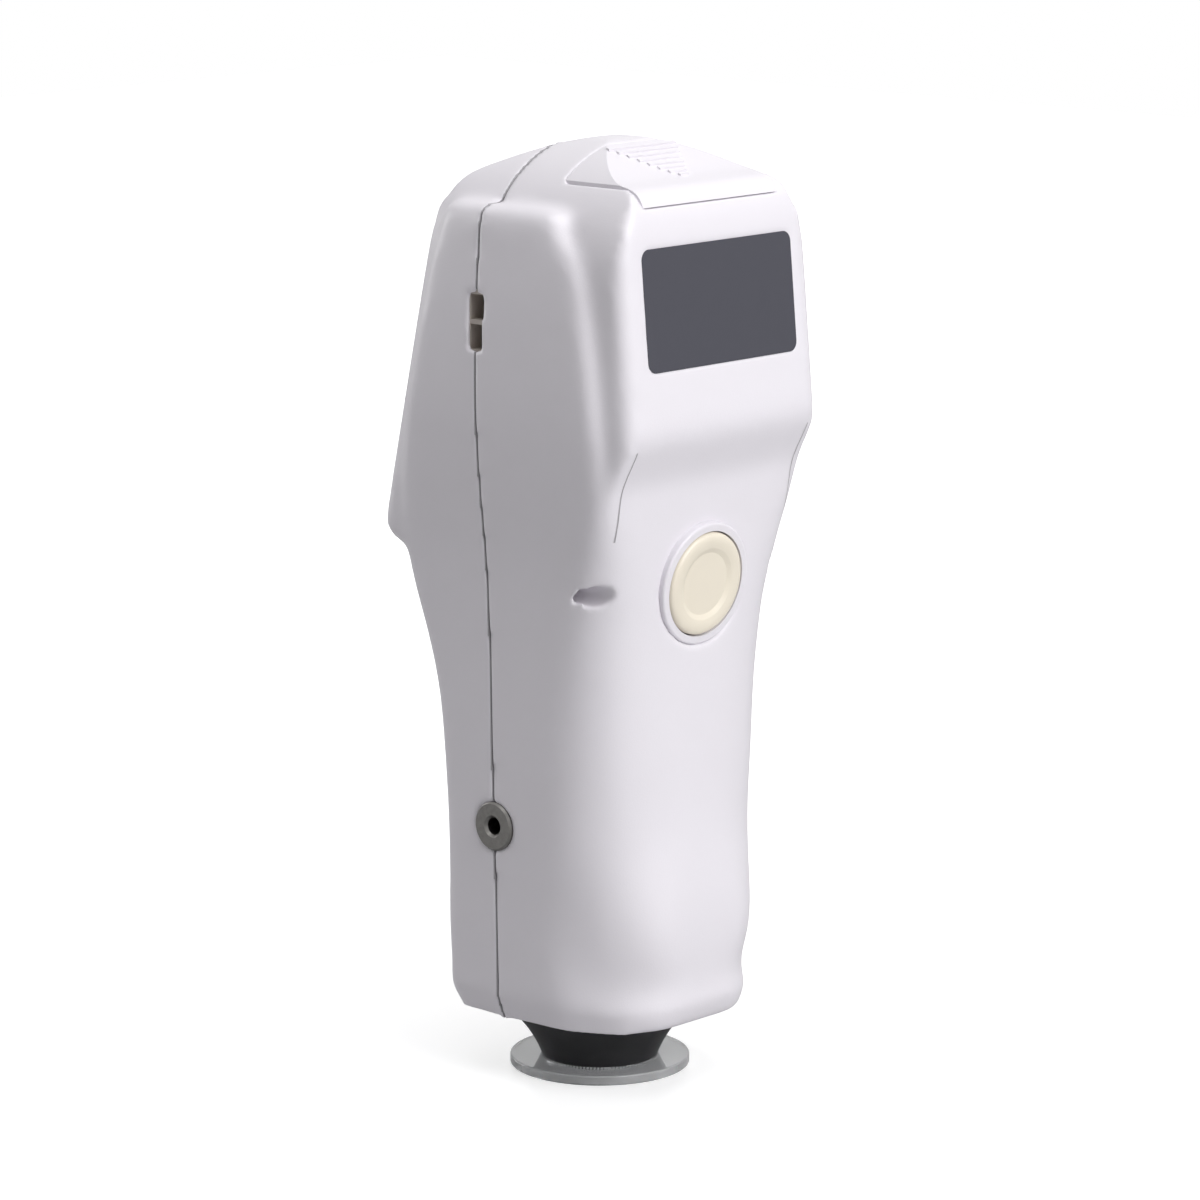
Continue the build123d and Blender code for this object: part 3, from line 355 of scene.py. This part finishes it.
# The ring at the tip of the nose: clear acrylic, slightly hazy, which shows where the spot will be
# measured. The small window in the aperture is the same material.
ACRYLIC_COLOUR = (0.96, 0.97, 0.98, 1.0)
HAZE_PATCHES_PER_METRE = 300.0
HAZE_SPREAD = 0.08
HAZE_LEAST = 0.04
clear_acrylic, tree, shader = new_material("clear_acrylic")
shader.inputs["Base Color"].default_value = ACRYLIC_COLOUR
shader.inputs["Transmission Weight"].default_value = 0.72
shader.inputs["IOR"].default_value = 1.49
patches = speckle(tree, place_of(tree), HAZE_PATCHES_PER_METRE)
haze = calc(tree, "MULTIPLY_ADD", patches, HAZE_SPREAD, HAZE_LEAST)
tree.links.new(haze, shader.inputs["Roughness"])
finish_with(clear_acrylic, "locating_ring", "aperture_glass")

# The screen: a smoked window, let in flush on the operating side.
# The display module behind it has the same dark face.
SMOKE_DARK = (0.012, 0.013, 0.016, 1.0)
SMOKE_LIGHT = (0.020, 0.021, 0.025, 1.0)
SMOKE_CLOUDS_PER_METRE = 60.0
smoked_window, tree, shader = new_material("smoked_window")
clouds = speckle(tree, place_of(tree), SMOKE_CLOUDS_PER_METRE)
smoke = blend_colours(tree, clouds, SMOKE_DARK, SMOKE_LIGHT)
tree.links.new(smoke, shader.inputs["Base Color"])
shader.inputs["Roughness"].default_value = 0.08
shader.inputs["Coat Weight"].default_value = 0.5
shader.inputs["Coat Roughness"].default_value = 0.03
finish_with(smoked_window, "display_window", "display_module")

# The keys: five caps in a dark rubber below the screen, on the mat that carries them.
# They stand a little proud of the case, with a matt, slightly grained face.
KEY_COLOUR = (0.17, 0.175, 0.19, 1.0)
key_rubber = moulded("key_rubber", KEY_COLOUR, roughness=0.62, grain=0.6)
finish_with(key_rubber, "key_1", "key_2", "key_3", "key_4", "key_5", "keypad_mat")

# The power switch: a small grey slider in a shallow recess on the left side.
# Its knob is moulded in one piece with its stem.
SWITCH_COLOUR = (0.16, 0.16, 0.175, 1.0)
switch_grey = moulded("switch_grey", SWITCH_COLOUR, roughness=0.5, grain=0.5)
finish_with(switch_grey, "power_switch")

# The black mouldings inside: the body of the switch, the battery holder, the optics block and its
# barrel. They share one plain matt finish.
INNER_COLOUR = (0.025, 0.025, 0.027, 1.0)
inner_black = moulded("inner_black", INNER_COLOUR, roughness=0.55, grain=0.5)
finish_with(inner_black, "switch_body", "battery_holder", "optics_block", "sensor_barrel")

# The circuit boards: green lacquered boards, and the small switch board behind the button.
# They are seen only when the case is opened.
BOARD_COLOUR = (0.015, 0.12, 0.05, 1.0)
board_green = moulded("board_green", BOARD_COLOUR, roughness=0.4, grain=0.4)
finish_with(board_green, "main_board", "keypad_board", "button_switch", "led_ring_board")

# The battery: a pack in blue shrink film, held between nickelled spring plates.
# Both are seen when the cover is off.
FILM_COLOUR = (0.03, 0.075, 0.24, 1.0)
NICKEL_DARK = (0.62, 0.60, 0.56, 1.0)
NICKEL_LIGHT = (0.72, 0.70, 0.66, 1.0)
NICKEL_FLECKS_PER_METRE = 500.0
battery_film = moulded("battery_film", FILM_COLOUR, roughness=0.35, grain=0.2)
finish_with(battery_film, "battery_pack")
nickel_plate, tree, shader = new_material("nickel_plate")
nickel_flecks = speckle(tree, place_of(tree), NICKEL_FLECKS_PER_METRE)
nickel = blend_colours(tree, nickel_flecks, NICKEL_DARK, NICKEL_LIGHT)
tree.links.new(nickel, shader.inputs["Base Color"])
shader.inputs["Metallic"].default_value = 1.0
shader.inputs["Roughness"].default_value = 0.28
finish_with(nickel_plate, "battery_contacts")

# The table that the instrument stands on: a white sheet, with the soft shadow under the nose.
# It isn't part of the object. Seen directly, it glows with a painted light that grows to full white
# away from the nose.
TABLE_HALF = 2.0
TABLE_DROP = 0.02 * MM
TABLE_DARK = (0.50, 0.50, 0.505, 1.0)
TABLE_LIGHT = (0.53, 0.53, 0.535, 1.0)
TABLE_CLOUDS_PER_METRE = 9.0
GLOW_NEAR = 0.60
GLOW_NEAR_RADIUS = 40.0 * MM
GLOW_FULL_RADIUS = 450.0 * MM
WHITE = (1.0, 1.0, 1.0, 1.0)
table_corners = [
    (-TABLE_HALF, -TABLE_HALF, 0.0),
    (TABLE_HALF, -TABLE_HALF, 0.0),
    (TABLE_HALF, TABLE_HALF, 0.0),
    (-TABLE_HALF, TABLE_HALF, 0.0),
]
table_mesh = bpy.data.meshes.new("white_table")
table_mesh.from_pydata(table_corners, [], [(0, 1, 2, 3)])
white_table = bpy.data.objects.new("white_table", table_mesh)
white_table.location.z = -TABLE_DROP
bpy.context.scene.collection.objects.link(white_table)
table_white, tree, shader = new_material("table_white")
where = place_of(tree)
x, y, _ = split_place(tree, where)
table_clouds = speckle(tree, where, TABLE_CLOUDS_PER_METRE)
table_tone = blend_colours(tree, table_clouds, TABLE_DARK, TABLE_LIGHT)
tree.links.new(table_tone, shader.inputs["Base Color"])
shader.inputs["Roughness"].default_value = 0.35
shader.inputs["Emission Color"].default_value = WHITE
squares = calc(tree, "ADD", calc(tree, "POWER", x, 2.0), calc(tree, "POWER", y, 2.0))
glow = tree.nodes.new("ShaderNodeMapRange")
glow.inputs["From Min"].default_value = GLOW_NEAR_RADIUS
glow.inputs["From Max"].default_value = GLOW_FULL_RADIUS
glow.inputs["To Min"].default_value = GLOW_NEAR
glow.inputs["To Max"].default_value = 1.0
tree.links.new(calc(tree, "SQRT", squares), glow.inputs["Value"])
seen = tree.nodes.new("ShaderNodeLightPath")
seen_glow = calc(tree, "MULTIPLY", seen.outputs["Is Camera Ray"], glow.outputs["Result"])
tree.links.new(seen_glow, shader.inputs["Emission Strength"])
table_mesh.materials.append(table_white)

# The camera: a long lens that looks at the back and the right side from a little above.
# It aims at the middle of the instrument's height, a little to the right of its axis.
VIEW_AZIMUTH = math.radians(42.5)
VIEW_ELEVATION = math.radians(11.23)
VIEW_DISTANCE = 1222.2 * MM
AIM_HEIGHT = 115.82 * MM
AIM_SIDE = 3.74 * MM
IMAGE_WIDTH_PX = 1200.0
FOCAL_PX = 5000.0


def from_angles(azimuth, elevation):
    """The direction at an azimuth told from +X to +Y and an elevation, both in radians."""
    flat = math.cos(elevation)
    return Vector((math.cos(azimuth) * flat, math.sin(azimuth) * flat, math.sin(elevation)))


towards = from_angles(VIEW_AZIMUTH, VIEW_ELEVATION)
rightward = Vector((-math.sin(VIEW_AZIMUTH), math.cos(VIEW_AZIMUTH), 0.0))
upward = towards.cross(rightward)
aim = Vector((0.0, SEAM_Y, AIM_HEIGHT)) + rightward * AIM_SIDE
lens = bpy.data.cameras.new("studio_camera")
lens.sensor_fit = "HORIZONTAL"
lens.angle = 2.0 * math.atan(IMAGE_WIDTH_PX / 2.0 / FOCAL_PX)
lens.clip_start = 0.05
camera = bpy.data.objects.new("studio_camera", lens)
turn = Matrix((rightward, upward, towards)).transposed().to_4x4()
camera.matrix_world = Matrix.Translation(aim + towards * VIEW_DISTANCE) @ turn
bpy.context.scene.collection.objects.link(camera)
bpy.context.scene.camera = camera

# The studio light: a wide soft light behind the instrument's back, one overhead, and a weaker one that
# grazes the right side from the front. The white room is seen directly but gives only a little light.
LIGHTS_LOOK_AT = Vector((0.0, 0.0, 0.12))
ROOM_LIGHT = 0.07


def soft_light(name, azimuth, elevation, distance, size, power):
    """A square soft light that looks at the middle of the instrument, in degrees, metres and watts."""
    lamp = bpy.data.lights.new(name, "AREA")
    lamp.shape = "SQUARE"
    lamp.size = size
    lamp.energy = power
    away = from_angles(math.radians(azimuth), math.radians(elevation))
    holder = bpy.data.objects.new(name, lamp)
    holder.location = LIGHTS_LOOK_AT + away * distance
    holder.rotation_euler = away.to_track_quat("Z", "Y").to_euler()
    bpy.context.scene.collection.objects.link(holder)


soft_light("key_light", azimuth=90.0, elevation=28.0, distance=1.6, size=1.0, power=20.0)
soft_light("top_light", azimuth=60.0, elevation=80.0, distance=1.5, size=1.2, power=14.0)
soft_light("fill_light", azimuth=-74.0, elevation=10.0, distance=1.8, size=0.7, power=8.0)
white_room = bpy.data.worlds.new("white_room")
white_room.use_nodes = True
bpy.context.scene.world = white_room
tree = white_room.node_tree
tree.nodes.clear()
sky = tree.nodes.new("ShaderNodeBackground")
sky.inputs["Color"].default_value = WHITE
output = tree.nodes.new("ShaderNodeOutputWorld")
paths = tree.nodes.new("ShaderNodeLightPath")
direct = calc(tree, "MAXIMUM", paths.outputs["Is Camera Ray"], paths.outputs["Is Glossy Ray"])
direct = calc(tree, "MAXIMUM", direct, paths.outputs["Is Transmission Ray"])
strength = calc(tree, "MULTIPLY_ADD", direct, 1.0 - ROOM_LIGHT, ROOM_LIGHT)
tree.links.new(strength, sky.inputs["Strength"])
tree.links.new(sky.outputs["Background"], output.inputs["Surface"])
bpy.context.scene.view_settings.view_transform = "Standard"
